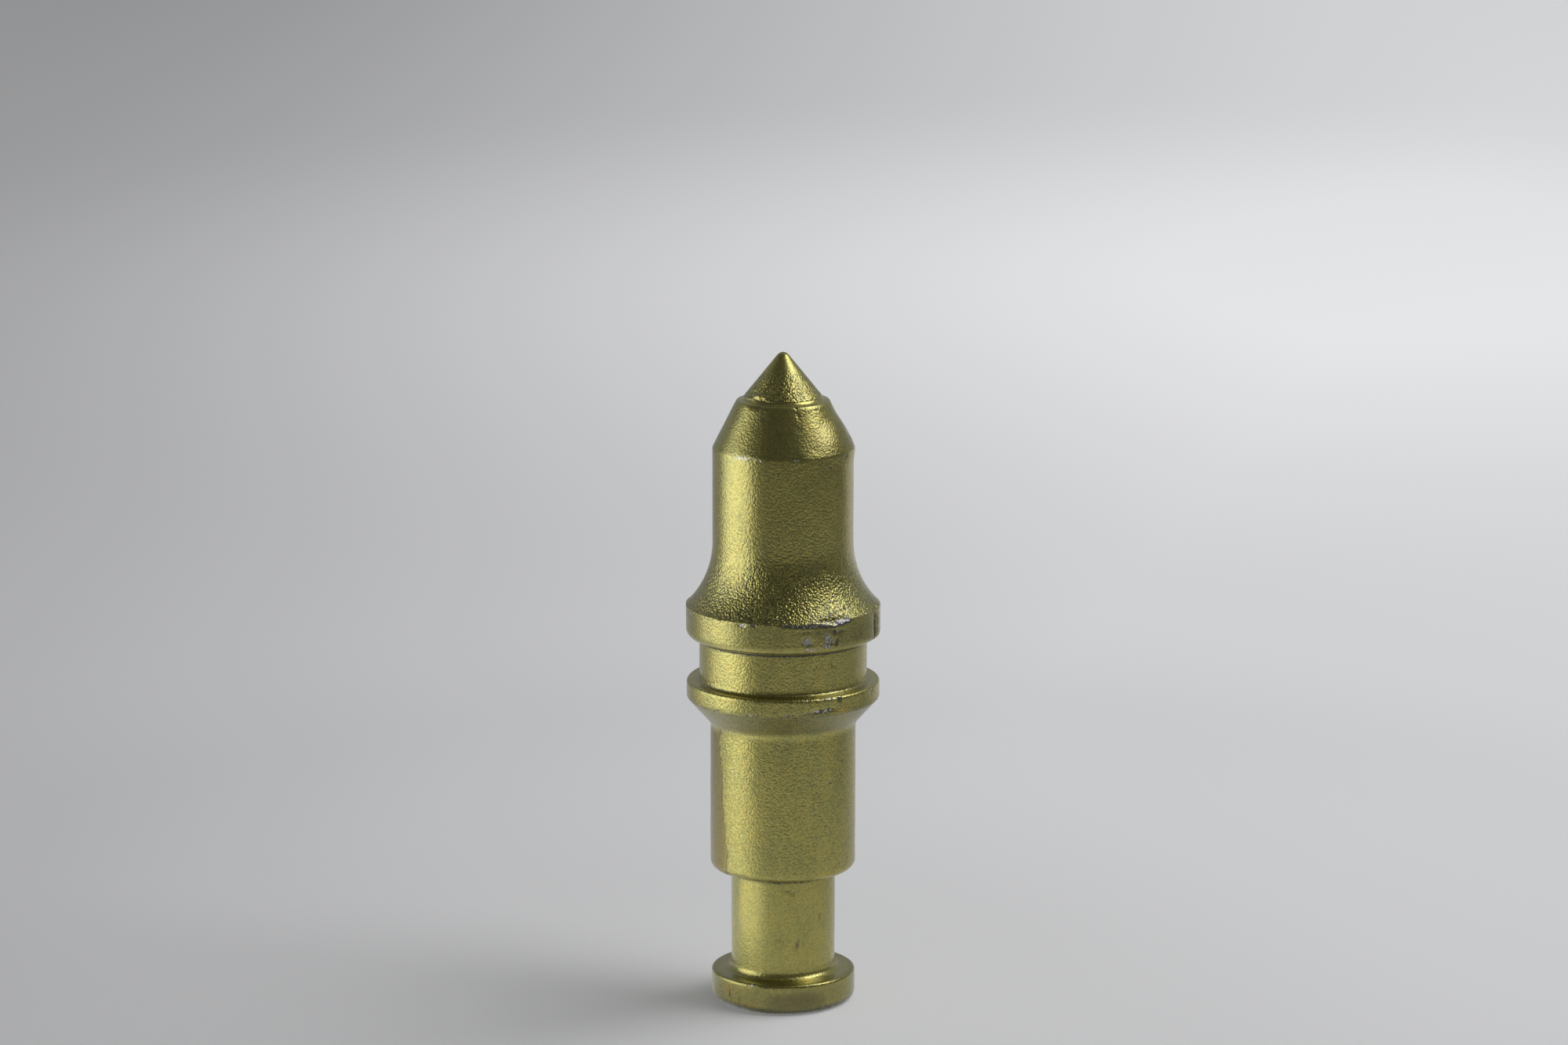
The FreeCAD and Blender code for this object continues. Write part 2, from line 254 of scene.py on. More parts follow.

# Painted shade in bands round the body, in corners and under edges: height, half its width up the
# outline, how much soft and how much ragged darkening it gets
SHADE_RINGS = [
    (SKIRT_FOOT - 0.3, 0.5, 1.0, 0.75),
    (GROOVE_FOOT + 0.3, 0.5, 0.4, 0),
    (COLLAR_FOOT - 0.2, 0.4, 0.6, 0.3),
    (SHANK_FOOT - 0.8, 0.4, 0.9, 0.7),
    (NECK_FOOT, 0.9, 0.35, 0),
    (SHOULDER + 0.5, 0.4, 0.2, 0),
    (0.7, 1.2, 1.0, 0.35),
]

# A mark on the surface: azimuth and height of its middle, half its width round the part, half its
# length up the outline, its tilt, how far it is raised or sunk, how bare, dark and warm it leaves
# the paint, and how sooty; on a few marks that last darkening is painted shade
FIELDS = "bare", "dark", "warm", "soot"
PLACING = "azimuth", "height", "wide", "tall", "tilt", "lift"
Mark = namedtuple("Mark", PLACING + FIELDS, defaults=(0,) * 6)

# How far from a mark's middle, in half widths, its lift and its stain end, over how much the stain
# fades, and how far the rim of a sunk mark is ragged, in lumps of what size
LIFT_END, STAIN_END, STAIN_FADE = 1.35, 1.5, 1.1
RIM_RAGGED, RIM_LUMP = 0.25, 0.7

BODY_MARKS = [
    # bruises along the skirt's upper edge, to both sides of the chip
    Mark(15, 83.8, 2.8, 0.45, 0, -0.12, 0.35, 0.9),
    Mark(22, 83.8, 2.0, 0.45, 0, -0.12, 0.3, 0.95),
    Mark(5, 83.9, 2.2, 0.35, 0, -0.08, 0.3, 0.85),
    Mark(-24, 83.6, 1.2, 0.5, 0, -0.12, 0.5, 0.2),
    Mark(-18, 83.8, 0.5, 0.4, 0, -0.1, 0, 1.0),
    Mark(-40, 84.0, 0.6, 0.25, 0, -0.05, 0, 0.6),
    Mark(-74, 83.3, 1.6, 0.7, 0, -0.1, 0.35, 0.4),
    # bare patches, smears and pits on the skirt's side
    Mark(14, 80.4, 1.1, 1.2, 25, -0.1, 0.52, 0.45, 0, 0.5),
    Mark(28, 80.7, 1.8, 0.8, -35, -0.1, 0.52, 0.5, 0, 0.5),
    Mark(26, 79.5, 1.4, 0.7, 0, -0.06, 0.48, 0.45, 0, 0.5),
    Mark(17, 78.7, 2.2, 0.45, -6, -0.05, 0.45, 0, 0.3, 0.4),
    Mark(33, 79.8, 0.5, 1.1, -20, -0.08, 0, 0.75),
    Mark(31.5, 82.2, 0.45, 0.5, 0, -0.2, 0, 1.0),
    Mark(36, 82.0, 1.2, 0.6, 10, -0.06, 0, 0.5, 0, 0.5),
    Mark(24, 82.3, 3.0, 0.9, 0, 0, 0, 0.2, 0, 0.55),
    Mark(12, 82.6, 1.6, 0.4, 5, -0.04, 0.25, 0.35),
    Mark(52, 81.4, 0.3, 1.7, 8, -0.1, 0, 0.7, 0.5),
    Mark(49, 81.0, 0.5, 2.0, 8, 0, 0, 0, 0.9),
    Mark(61, 81.0, 2.6, 3.0, 0, 0, 0, 0, 0, 0.45),
    # painted shade over the right half of the skirt's side
    Mark(40, 81.0, 8.0, 2.8, 0, 0, 0, 0, 0, 0.45),
    # forging lap, the raised strip to its right, and the burr above it
    Mark(70.2, 80.9, 0.6, 3.2, 2, -0.4, 0, 1.0, 0, 0.6),
    Mark(70.6, 78.4, 0.7, 0.9, 0, -0.3, 0, 1.0),
    Mark(77, 81.0, 1.4, 3.2, 0, 0.3, 0.55, 0, 0.6),
    Mark(79, 84.5, 1.5, 0.5, 0, 0.4, 0.3, 0.3),
    # pits on the flare
    Mark(43, 86.0, 0.35, 0.35, 0, -0.12, 0, 1.0),
    Mark(40, 85.8, 0.3, 0.25, 0, -0.1, 0, 0.9),
    # collar: nicks along its upper ridge, bruises along its lower edge
    Mark(35, 67.9, 0.5, 0.5, 0, -0.2, 0, 1.0),
    Mark(30, 68.3, 4.0, 0.3, 0, -0.06, 0.4, 0.6),
    Mark(12, 68.3, 2.0, 0.25, 0, -0.06, 0.3, 0.5),
    Mark(23, 65.9, 4.0, 0.5, 4, -0.08, 0.45, 0.6),
    Mark(4, 65.2, 2.5, 0.4, 0, -0.08, 0.35, 0.4),
    Mark(-18, 65.1, 4.0, 0.35, 0, -0.06, 0.2, 0.42),
    Mark(-44, 65.1, 3.0, 0.35, 0, -0.06, 0, 0.42),
    Mark(38, 65.6, 2.2, 0.8, 5, 0.03, 0, 0, 1.0),
    Mark(66, 67.6, 1.5, 0.9, 0, -0.08, 0.3, 0.5),
    # wandering marks on the groove's wall
    Mark(26, 75.3, 1.6, 0.35, 20, -0.05, 0, 0.45),
    Mark(36, 74.6, 1.4, 0.3, -25, -0.05, 0, 0.45),
    # nose: full and duller shoulder on the right, worn speckles along its edge, a pit, a scratch
    Mark(78, 119.5, 9.0, 4.5, 0, 0.42, 0, 0, 0.3, 0.32),
    Mark(42, 120.5, 5.0, 4.0, 0, 0, 0, 0, 0.4, 0.42),
    Mark(75, 120.5, 0.9, 1.4, 0, 0.05, 0.15, 0, 0.6),
    Mark(85, 119.2, 0.6, 0.8, 0, -0.08, 0, 0.7),
    Mark(60, 116.3, 1.6, 0.7, 0, -0.08, 0, 0.6),
    Mark(-36, 117.0, 3.0, 0.45, 0, -0.05, 0.5),
    Mark(-22, 116.8, 1.6, 0.3, 0, -0.05, 0.4),
    Mark(12, 117.0, 1.8, 0.25, 0, -0.03, 0.35),
    Mark(42, 114.8, 0.4, 0.4, 0, -0.12, 0, 0.9),
    Mark(2, 95.6, 1.3, 0.25, 25, -0.06, 0, 0.5),
    # nose cone: nicked lip and scratches
    Mark(-34, 126.8, 1.8, 0.35, 0, -0.12, 0, 0.5, 0.6),
    Mark(16, 126.9, 0.4, 0.4, 0, -0.15, 0, 0.7),
    Mark(-21, 125.0, 0.9, 0.3, -40, -0.08, 0, 0.4),
    Mark(17, 125.2, 0.35, 0.9, 25, -0.08, 0, 0.4),
    Mark(16, 122.5, 0.7, 0.3, -20, -0.06, 0, 0.4),
    # shank and neck: handling scratches and small pits
    Mark(10, 53.8, 0.9, 0.3, 30, -0.06, 0, 0.5),
    Mark(25, 47.1, 0.35, 0.35, 0, -0.08, 0, 0.7),
    Mark(40, 49.1, 0.3, 0.7, 10, -0.06, 0, 0.5),
    Mark(54, 53.0, 0.4, 0.4, 0, -0.08, 0, 0.6),
    Mark(52, 49.8, 0.4, 0.6, 0, -0.06, 0, 0.5, 0.5),
    Mark(36, 40.1, 0.35, 0.35, 0, -0.08, 0, 0.6),
    Mark(-7, 44.2, 0.35, 0.35, 0, -0.08, 0, 0.6),
    Mark(-9, 35.4, 0.4, 0.3, 0, -0.06, 0, 0.5),
    Mark(61, 31.7, 0.4, 0.5, 0, -0.08, 0, 0.5),
    Mark(4, 25.7, 1.0, 0.4, -15, -0.05, 0, 0.3, 0.3, 0.5),
    Mark(11, 24.8, 0.5, 0.4, 0, -0.05, 0, 0.3, 0.3, 0.5),
    Mark(44, 19.6, 0.4, 0.8, 0, -0.05, 0, 0.25, 0.4, 0.4),
    Mark(16, 14.0, 0.5, 1.1, -10, -0.06, 0, 0.35, 0.3, 0.5),
    Mark(-5, 15.1, 0.9, 0.35, 10, -0.05, 0, 0.2, 0.3, 0.45),
    # tail flange: uneven underside at the left front, bruised upper edge, warm left, darker front
    Mark(-45, 0.6, 5.0, 1.0, 0, -0.25),
    Mark(-25, 6.2, 1.5, 0.4, 0, -0.06, 0.38),
    Mark(-14, 6.2, 0.4, 0.4, 0, -0.08, 0, 0.7),
    Mark(-47, 2.6, 0.35, 1.8, 8, -0.08, 0, 0.6, 0, 0.4),
    Mark(48, 0.9, 3.5, 0.7, 0, -0.12, 0, 0.35, 0, 0.6),
    Mark(-50, 4.4, 2.2, 1.2, 10, 0, 0, 0, 0.9),
    Mark(-30, 1.9, 3.2, 0.8, 0, 0, 0, 0, 0.9),
    Mark(12, 3.2, 5.0, 1.6, 0, 0, 0, 0, 0.5),
    Mark(10, 3.0, 8.0, 2.6, 0, 0, 0, 0, 0, 0.8),
    Mark(-38, 2.6, 0.5, 1.4, 0, -0.08, 0, 0.3, 0, 0.6),
    Mark(-10, 1.2, 3.0, 0.8, 0, -0.08, 0, 0.2, 0, 0.6),
    Mark(58, 4.0, 0.6, 1.6, 0, 0, 0, 0, 0.6, 0.5),
]
TIP_MARKS = [
    # braze that climbed the foot of the cone, and the flattened point
    Mark(-36, 128.4, 2.3, 0.55, 0, 0.28, 0, 0, 0.2),
    Mark(20, 136.7, 0.8, 0.5, 0, -0.08),
]
BRAZE_MARKS = [
    Mark(-36, 127.5, 2.6, 0.5, 0, 0.15),
    Mark(40, 127.3, 5.0, 0.5, 0, 0.08),
]

# Paint and metal, as linear colours
GOLD = (0.43, 0.39, 0.112, 1)
GOLD_GREEN = (0.375, 0.355, 0.107, 1)
GOLD_WARM = (0.48, 0.38, 0.096, 1)
# the dark that grime, pits and painted shade are blended towards
GRIME_AND_SHADE = (0.045, 0.045, 0.04, 1)
STEEL = (0.68, 0.66, 0.68, 1)
TORN_STEEL_SHADE = (0.07, 0.07, 0.09, 1)

# Patterns in the paint: their sizes, the noise at which each sets in and is full, and how strongly
# it shows. Pits show more in strong grain
CLOUD_SIZE, CLOUD_STRETCH, CLOUD_BAND = 4, (1, 1, 0.3), (0.35, 0.65)
DAPPLE_SIZE, DAPPLE_BAND, DAPPLE_SHARE = 2.2, (0.45, 0.75), 0.45
PIT_SIZE, PIT_BAND, PIT_GRAIN, PIT_LEAST = 0.42, (0.54, 0.34), 0.6, 0.12
MOTTLE_SIZE, MOTTLE_BAND, MOTTLE_SHARE = 1.1, (0.5, 0.3), 0.22
# How strongly warmth, dark marks and soot show; the last two also carry painted shade
WARM_SHARE, DARK_SHARE, SOOT_AND_SHADE_SHARE = 0.9, 0.9, 0.8

# Flecks of painted shade in the bare torn metal, and the grit that frays bare and dark places:
# their sizes, the values at which flecks and frayed edges set in and are full, and how far the grit
# frays them
FLECK_SIZE, GRIT_SIZE, DARK_SIZE = 0.3, 0.5, 0.6
FLECK_BAND, EDGE_BAND = (0.3, 0.42), (0.44, 0.56)
BARE_RAGGED, DARK_RAGGED = 2.4, 2.2

# Gloss: size and roughness of the flakes, roughness of dark places, and how metallic the paint is,
# how much less so where it is dark, and its clear coat
FLAKE_SIZE, FLAKE_ROUGH, DARK_ROUGH = 0.3, 0.12, 0.25
METALLIC, DARK_DULL = 0.9, 0.6
COAT, COAT_ROUGH = 0.25, 0.2

# Blasted grain: sizes of its pebbles, specks and lumps, shares of the last two, and how deep the
# grain and the torn bare metal are
PEBBLE_SIZE, SPECK_SIZE, LUMP_SIZE = 0.46, 0.18, 0.8
SPECK_SHARE, LUMP_SHARE = 0.25, 0.2
GRAIN_HEIGHT, TORN_HEIGHT = 0.175, 0.2

# Studio, in metres. Floor: its colours at the left, darker as painted shade, and elsewhere, and
# where they meet
FLOOR_SIZE, FLOOR_HEIGHT = 8.0, -0.02 * MM
FLOOR_DIM, FLOOR_PALE = (0.74, 0.74, 0.75, 1), (0.80, 0.80, 0.81, 1)
DIM_UP_TO, PALE_FROM = -0.25, -0.05

# The floor's own glow: colour, level at the left, rise to the right, half the width of the rise,
# and how far to the right it still rises for each metre behind the part
FLOOR_GLOW = (0.98, 0.985, 1.0, 1)
FLOOR_LEFT, FLOOR_RISE, RISE_HALF, RISE_SPREAD = 0.38, 0.54, 0.45, 0.25

# Round patches of the glow, painted pools of light: middle, radius and how much brighter, or darker
# where negative. Reflections alone show the gleams, which are painted reflections
PATCHES = [((0.02, 0.03, 0), 0.24, 0.4), ((0.15, 0.95, 0), 0.6, 0.22)]
GLEAMS = [
    ((-0.18, -0.02, 0), 0.24, 0.65),
    ((-0.10, -0.01, 0), 0.10, 0.45),
    ((0.24, 0.10, 0), 0.24, -0.48),
    ((0.02, 0.03, 0), 0.24, -0.38),
]

# Share of the glow in the floor beside the part, so that its shadow shows, and far from it
SHARE_NEAR, SHARE_FAR = 0.15, 0.65
NEAR_UP_TO, FAR_FROM = 0.06, 0.36

# World: colour, what reflections show of it in front and behind, what lights matt surfaces, and the
# least that the camera sees
WORLD_COLOUR = (0.95, 0.98, 1.0, 1)
WORLD_FRONT, WORLD_BACK, WORLD_FILL, BACKDROP_LEVEL = 0.095, 0.36, 0.12, 0.55
FRONT_UP_TO, BACK_FROM = -0.1, 0.8

# Black card: distance, height, azimuths of its ends, its upright edges, colour and faint glow
FLAG_AWAY, FLAG_TALL = 0.40, 0.12
FLAG_TURN, FLAG_EDGES = (-50, 122), 24
FLAG_COLOUR, FLAG_GLOW = (0.02, 0.02, 0.02, 1), 0.16

# Camera: focal length and sensor in millimetres, place in metres, and how far down it looks
LENS, SENSOR = 115.2, 36
CAMERA_PLACE = (0.19 * MM, -1.00759, 0.31536)
CAMERA_DOWN = 12

# Constants of the random values
HASH_KEYS = 73856093, 19349663, 83492791
HASH_SEED, HASH_SPREAD = 2654435761, 2246822519
HASH_MASK, HASH_HALF = 0xFFFFFFFF, 0x7FFFFFFF
HASH_SHIFTS = 15, 12, 16


def smooth(share):
    """Eases a share from 0 to 1."""
    share = np.clip(share, 0, 1)
    return share * share * (3 - 2 * share)


def lattice(cells, seed):
    """A repeatable value from -1 to 1 for each whole-numbered cell."""
    key = (cells.astype(np.int64) * np.array(HASH_KEYS)).sum(-1)
    key = (key + seed * HASH_SEED) & HASH_MASK
    for shift in HASH_SHIFTS:
        key = ((key ^ (key >> shift)) * HASH_SPREAD) & HASH_MASK
    return key / HASH_HALF - 1


def lumps(points, size, seed):
    """Smooth random lumps of a given size through space, from -1 to 1."""
    place = points / size
    cell = np.floor(place)
    share = smooth(place - cell)
    total = np.zeros(points.shape[:-1])
    for corner in np.ndindex(2, 2, 2):
        weight = np.prod(np.where(corner, share, 1 - share), axis=-1)
        total += weight * lattice(cell + corner, seed)
    return total


def wrapped(angle):
    """The same angle, from -180 to 180 degrees."""
    return (angle + 180) % 360 - 180


def towards(start, end):
    """Unit direction from one point of an outline to another."""
    step = np.subtract(end, start)
    return step / np.linalg.norm(step)


def rounded(before, corner, after, size):
    """The arc of a given radius that rounds a corner, or the corner itself without one."""
    if not size:
        return [np.array(corner)]
    back, on = towards(corner, before), towards(corner, after)
    half = math.acos(np.clip(back @ on, -1, 1)) / 2
    centre = corner + (back + on) / np.linalg.norm(back + on) * size / math.sin(half)
    start = corner + back * size / math.tan(half) - centre
    sweep = math.pi - 2 * half
    turn = math.copysign(1, start[0] * (on - back)[1] - start[1] * (on - back)[0])
    count = max(LEAST_STEPS, round(sweep * size / PLAIN))
    angles = turn * np.linspace(0, sweep, count + 1)
    across = np.array([-start[1], start[0]])
    return [centre + start * math.cos(a) + across * math.sin(a) for a in angles]


def run_up(corners):
    """The outline's points: each corner rounded, and the straight runs divided evenly."""
    points = [np.array(corners[0][:2], float)]
    steps = [corners[0][3]]
    last = len(corners) - 1
    for index in range(1, last + 1):
        here = np.array(corners[index][:2], float)
        before = np.array(corners[index - 1][:2], float)
        after = np.array(corners[min(index + 1, last)][:2], float)
        size, step = corners[index][2:]
        if index == last and size:
            after = before * (-1, 1)
        arc = rounded(before, here, after, size)
        if index == last and size:
            arc = arc[: len(arc) // 2 + 1]
        count = max(1, round(np.linalg.norm(arc[0] - points[-1]) / steps[-1]))
        points += list(np.linspace(points[-1], arc[0], count + 1)[1:]) + arc[1:]
        steps.append(step)
    return np.array(points)


def columns():
    """Azimuths of the mesh's columns, from the damaged side round to it again."""
    parts = []
    for (start, step), (end, _) in zip(COLUMN_STEPS, COLUMN_STEPS[1:]):
        parts.append(np.linspace(start, end, round((end - start) / step), endpoint=False))
    return np.concatenate(parts)


def finer(points, low, high):
    """The outline with one point more in each of its steps between two heights."""
    middles = (points[1:] + points[:-1]) / 2
    inside = (middles[:, 1] > low) & (middles[:, 1] < high)
    return np.insert(points, np.flatnonzero(inside) + 1, middles[inside], axis=0)


class Turned:
    """A turned surface as a grid of rows up the outline and columns round the axis."""

    def __init__(self, corners, grain, soot):
        self.outline = finer(run_up(corners), CHIP_FROM, CHIP_TO)
        steps = np.diff(self.outline, axis=0)
        self.along = np.concatenate([[0], np.cumsum(np.linalg.norm(steps, axis=1))])
        ways = steps / np.linalg.norm(steps, axis=1)[:, None]
        way = np.vstack([ways[:1], ways[:-1] + ways[1:], ways[-1:]])
        way /= np.linalg.norm(way, axis=1)[:, None]
        self.out = np.stack([way[:, 1], -way[:, 0]], -1)
        self.azimuth = columns()
        self.lift = np.zeros((len(self.outline), len(self.azimuth)))
        self.fields = {name: np.zeros_like(self.lift) for name in FIELDS}
        for name, levels in (("grain", grain), ("soot", soot)):
            level = np.interp(self.outline[:, 1], *zip(*levels))[:, None]
            self.fields[name] = np.broadcast_to(level, self.lift.shape).copy()

    def points(self):
        """Where the grid's points are now, in millimetres."""
        radius = self.outline[:, :1] + self.out[:, :1] * self.lift
        height = self.outline[:, 1:] + self.out[:, 1:] * self.lift
        angle = np.radians(self.azimuth)
        return np.stack([radius * np.sin(angle), -radius * np.cos(angle), height], -1)

    def row_at(self, height):
        """The row of the outer surface at a height."""
        top = np.argmax(self.outline[:, 1])
        return np.argmin(np.abs(self.outline[: top + 1, 1] - height))

    def reach(self, mark):
        """How far each point is from a mark's middle, where 1 is the mark's rim."""
        row = self.row_at(mark.height)
        turn = wrapped(self.azimuth - mark.azimuth)
        across = np.radians(turn) * max(self.outline[row, 0], LEAST_RADIUS)
        up = (self.along - self.along[row])[:, None]
        cos, sin = math.cos(math.radians(mark.tilt)), math.sin(math.radians(mark.tilt))
        wide, tall = across * cos + up * sin, up * cos - across * sin
        return np.hypot(wide / mark.wide, tall / mark.tall)

    def add_marks(self, marks, seed):
        """Lifts or sinks the surface at the marks and notes how they leave the paint, painted shade
        too.
        """
        grit = lumps(self.points(), RIM_LUMP, seed)
        for mark in marks:
            reach = self.reach(mark)
            if mark.lift:
                edge = reach + RIM_RAGGED * grit * (mark.lift < 0)
                self.lift += mark.lift * smooth(LIFT_END - edge)
            share = smooth((STAIN_END - reach) / STAIN_FADE)
            for name in FIELDS:
                self.stain(name, getattr(mark, name) * share)

    def stain(self, name, level):
        """Raises one of the fields to at least a level."""
        np.maximum(self.fields[name], level, out=self.fields[name])

    def add_shade_rings(self, rings):
        """Painted shade in bands all round the part, at given heights."""
        for height, tall, soot, dark in rings:
            away = np.abs(self.along - self.along[self.row_at(height)])[:, None]
            share = smooth(STAIN_END - away / tall)
            self.stain("soot", soot * share)
            self.stain("dark", dark * share)


def add_shaded_strip(surface):
    """Painted shade down the shank's left: a warmer, darker, smoother and thicker strip, with a
    dark line along its sharp right edge.
    """
    points = surface.points()
    height = points[..., 2]
    azimuth = wrapped(surface.azimuth)
    edge = np.interp(height, *zip(*STRIP_EDGE)) + STRIP_WANDER * lumps(points, size=2.6, seed=8)
    share = smooth((edge - azimuth) / STRIP_FADE + 0.5) * smooth((azimuth - STRIP_BACK) / BACK_FADE)
    share *= smooth((height - SHANK_FOOT) / FOOT_FADE) * smooth((SEAT_FOOT - height) / TOP_FADE)
    surface.fields["grain"] *= 1 - STRIP_SMOOTH * share
    surface.stain("warm", share)
    surface.stain("soot", STRIP_SHADE * share)
    line = smooth(1 - np.abs(edge - azimuth) / STRIP_LINE) * (share > 0)
    surface.stain("soot", STRIP_LINE_SHADE * line)
    surface.lift += STRIP_THICKNESS * share


def chip(surface, points):
    """Cuts the chip into the skirt's edge, and leaves bare metal and a torn rim darkened as painted
    shadow.
    """
    turn, tilt = math.radians(CHIP_AZIMUTH), math.radians(CHIP_TILT)
    out = np.array([math.sin(turn), -math.cos(turn), 0])
    side = np.array([math.cos(turn), math.sin(turn), 0])
    up = np.array([0, 0, 1])
    away = CHIP_HOLLOW - CHIP_DEPTH
    centre = out * (SKIRT_R + away * math.cos(tilt)) + up * (FLARE_FOOT + away * math.sin(tilt))
    place = points - centre
    along = place @ side
    spoke = place - along[..., None] * side
    gap = np.linalg.norm(spoke, axis=-1)
    torn = FINE_TEAR * lumps(points, size=0.55, seed=9)
    torn += COARSE_TEAR * lumps(points, size=1.3, seed=10)
    taper = CHIP_TAPER * smooth((np.abs(along) - CHIP_REACH) / CHIP_FADE)
    cut = CHIP_HOLLOW + torn - gap - taper
    depth = np.clip(cut, 0, None)
    right = smooth((along - BARE_LEFT) / BARE_SPAN)
    low = smooth((FLARE_FOOT + BARE_TOP - points[..., 2]) / BARE_TOP_FADE)
    bare = smooth(cut / BARE_FADE) * low * (BARE_LEAST + (1 - BARE_LEAST) * right)
    surface.stain("bare", bare)
    # painted shadow along the chip's rim, strongest below the edge
    rim = smooth(RIM_END - np.abs(cut + RIM_AWAY) / RIM_HALF)
    surface.stain("dark", rim * np.where(points[..., 2] < FLARE_FOOT, 1.0, RIM_ABOVE))
    surface.stain("soot", RIM_SHADE * smooth(1 - np.abs(cut) / RIM_SHADE_HALF))
    return points + spoke / gap[..., None] * depth[..., None]


def new_object(name, data):
    """An object of the scene that holds a mesh, a light or a camera."""
    made = bpy.data.objects.new(name, data)
    bpy.context.scene.collection.objects.link(made)
    return made


def make_mesh(name, surface, points):
    """A closed, smooth mesh of the grid, inside the CAD model's box and with its fields."""
    points = np.clip(points, *(np.array(corner) / MM for corner in cad_box))
    rows, cols = points.shape[:2]
    on_axis = surface.outline[:, 0] < ON_AXIS
    first = np.cumsum(np.concatenate([[0], np.where(on_axis, 1, cols)]))
    verts = np.concatenate([p[:1] if lone else p for p, lone in zip(points, on_axis)])
    verts[first[:-1][on_axis], :2] = 0
    faces = []
    for row in range(rows - 1):
        below = first[row] + (np.zeros(cols, int) if on_axis[row] else np.arange(cols))
        above = first[row + 1] + (np.zeros(cols, int) if on_axis[row + 1] else np.arange(cols))
        quads = np.stack([below, np.roll(below, -1), np.roll(above, -1), above], -1)
        faces += [tuple(dict.fromkeys(quad)) for quad in quads.tolist()]
    mesh = bpy.data.meshes.new(name)
    mesh.from_pydata((verts * MM).tolist(), [], faces)
    mesh.shade_smooth()
    mesh.set_sharp_from_angle(angle=math.radians(FOLD))
    for label, grid in surface.fields.items():
        values = np.concatenate([f[:1] if lone else f for f, lone in zip(grid, on_axis)])
        mesh.attributes.new(label, "FLOAT", "POINT").data.foreach_set("value", values)
    return new_object(name, mesh)


def forge(surface, waviness, pebble):
    """Uneven form of a forging under paint: long waves, short waves and coarse pebbles."""
    points = surface.points()
    level = surface.fields["grain"]
    radius, height = surface.outline.T
    skin = ((radius > CALM_RADIUS) * smooth(np.abs(height - MOUTH) - CALM_LIP))[:, None]
    surface.lift += skin * waviness * lumps(points, size=11, seed=1)
    surface.lift += skin * waviness * 0.5 * lumps(points, size=4.2, seed=2)
    surface.lift += skin * pebble * level * lumps(points, size=1.1, seed=3)


def make_body():
    surface = Turned(BODY_OUTLINE, BODY_GRAIN, BODY_SOOT_AND_SHADE)
    forge(surface, waviness=0.05, pebble=0.014)
    surface.add_marks(BODY_MARKS, seed=4)
    surface.add_shade_rings(SHADE_RINGS)
    add_shaded_strip(surface)
    return make_mesh("pick_body_forging", surface, chip(surface, surface.points()))


def make_tip():
    surface = Turned(TIP_OUTLINE, TIP_GRAIN, TIP_SOOT)
    forge(surface, waviness=0.03, pebble=0.014)
    surface.add_marks(TIP_MARKS, seed=5)
    return make_mesh("carbide_point", surface, surface.points())


def make_braze():
    surface = Turned(BRAZE_OUTLINE, BRAZE_GRAIN, TIP_SOOT)
    surface.add_marks(BRAZE_MARKS, seed=6)
    return make_mesh("braze_fillet", surface, surface.points())


def add(tree, kind, settings=None, **sockets):
    """A node with its settings. Each socket, named or numbered as in _0, gets a value or a link."""
    made = tree.nodes.new(kind)
    for name, value in (settings or {}).items():
        setattr(made, name, value)
    for name, value in sockets.items():
        key = int(name[1:]) if name[1:].isdigit() else name.replace("_", " ")
        socket = made.inputs[key]
        if isinstance(value, bpy.types.NodeSocket):
            tree.links.new(value, socket)
        else:
            socket.default_value = value
    return made


def compute(tree, operation, first, second):
    return add(tree, "ShaderNodeMath", {"operation": operation}, _0=first, _1=second).outputs[0]


def times(tree, first, second):
    return compute(tree, "MULTIPLY", first, second)


def plus(tree, first, second):
    return compute(tree, "ADD", first, second)


def vector(tree, operation, first, output=0, **sockets):
    made = add(tree, "ShaderNodeVectorMath", {"operation": operation}, _0=first, **sockets)
    return made.outputs[output]


def split(tree, place, axis):
    """One coordinate of a place."""
    return add(tree, "ShaderNodeSeparateXYZ", Vector=place).outputs[axis]


def ramp(tree, value, low, high):
    """0 at low and 1 at high, eased between. Low may also be the larger of the two."""
    made = add(tree, "ShaderNodeMapRange", {"interpolation_type": "SMOOTHSTEP"},
               Value=value, From_Min=low, From_Max=high)
    return made.outputs["Result"]


def blend(tree, share, first, second):
    """First colour at share 0, second at share 1."""
    made = add(tree, "ShaderNodeMix", {"data_type": "RGBA"}, _0=share, _6=first, _7=second)
    return made.outputs[2]


def noise(tree, place, size, detail, rough=0.5):
    """Random lumps of a given size in millimetres, from 0 to 1."""
    made = add(tree, "ShaderNodeTexNoise", Vector=place, Scale=1 / size,
               Detail=detail, Roughness=rough)
    return made.outputs["Fac"]


def pebbles(tree, place, size):
    """Round lumps that stand side by side, of a given size in millimetres."""
    made = add(tree, "ShaderNodeTexVoronoi", {"feature": "SMOOTH_F1"},
               Vector=place, Scale=1 / size, Smoothness=0.6)
    return compute(tree, "SUBTRACT", 1.0, made.outputs["Distance"])


def patch(tree, place, centre, radius):
    """1 in the middle of a round patch, eased to 0 at its radius."""
    return ramp(tree, vector(tree, "DISTANCE", place, "Value", _1=centre), radius, 0)


def field(tree, name):
    made = tree.nodes.new("ShaderNodeAttribute")
    made.attribute_name = name
    return made.outputs["Fac"]


def ragged(tree, level, grit, share):
    """A mask whose edge follows the grit, from a soft level."""
    rough = times(tree, compute(tree, "SUBTRACT", grit, 0.5), share)
    return ramp(tree, plus(tree, level, rough), *EDGE_BAND)


def new_material(name):
    """A material, and its shader."""
    material = bpy.data.materials.new(name)
    material.use_nodes = True
    return material, material.node_tree.nodes["Principled BSDF"]


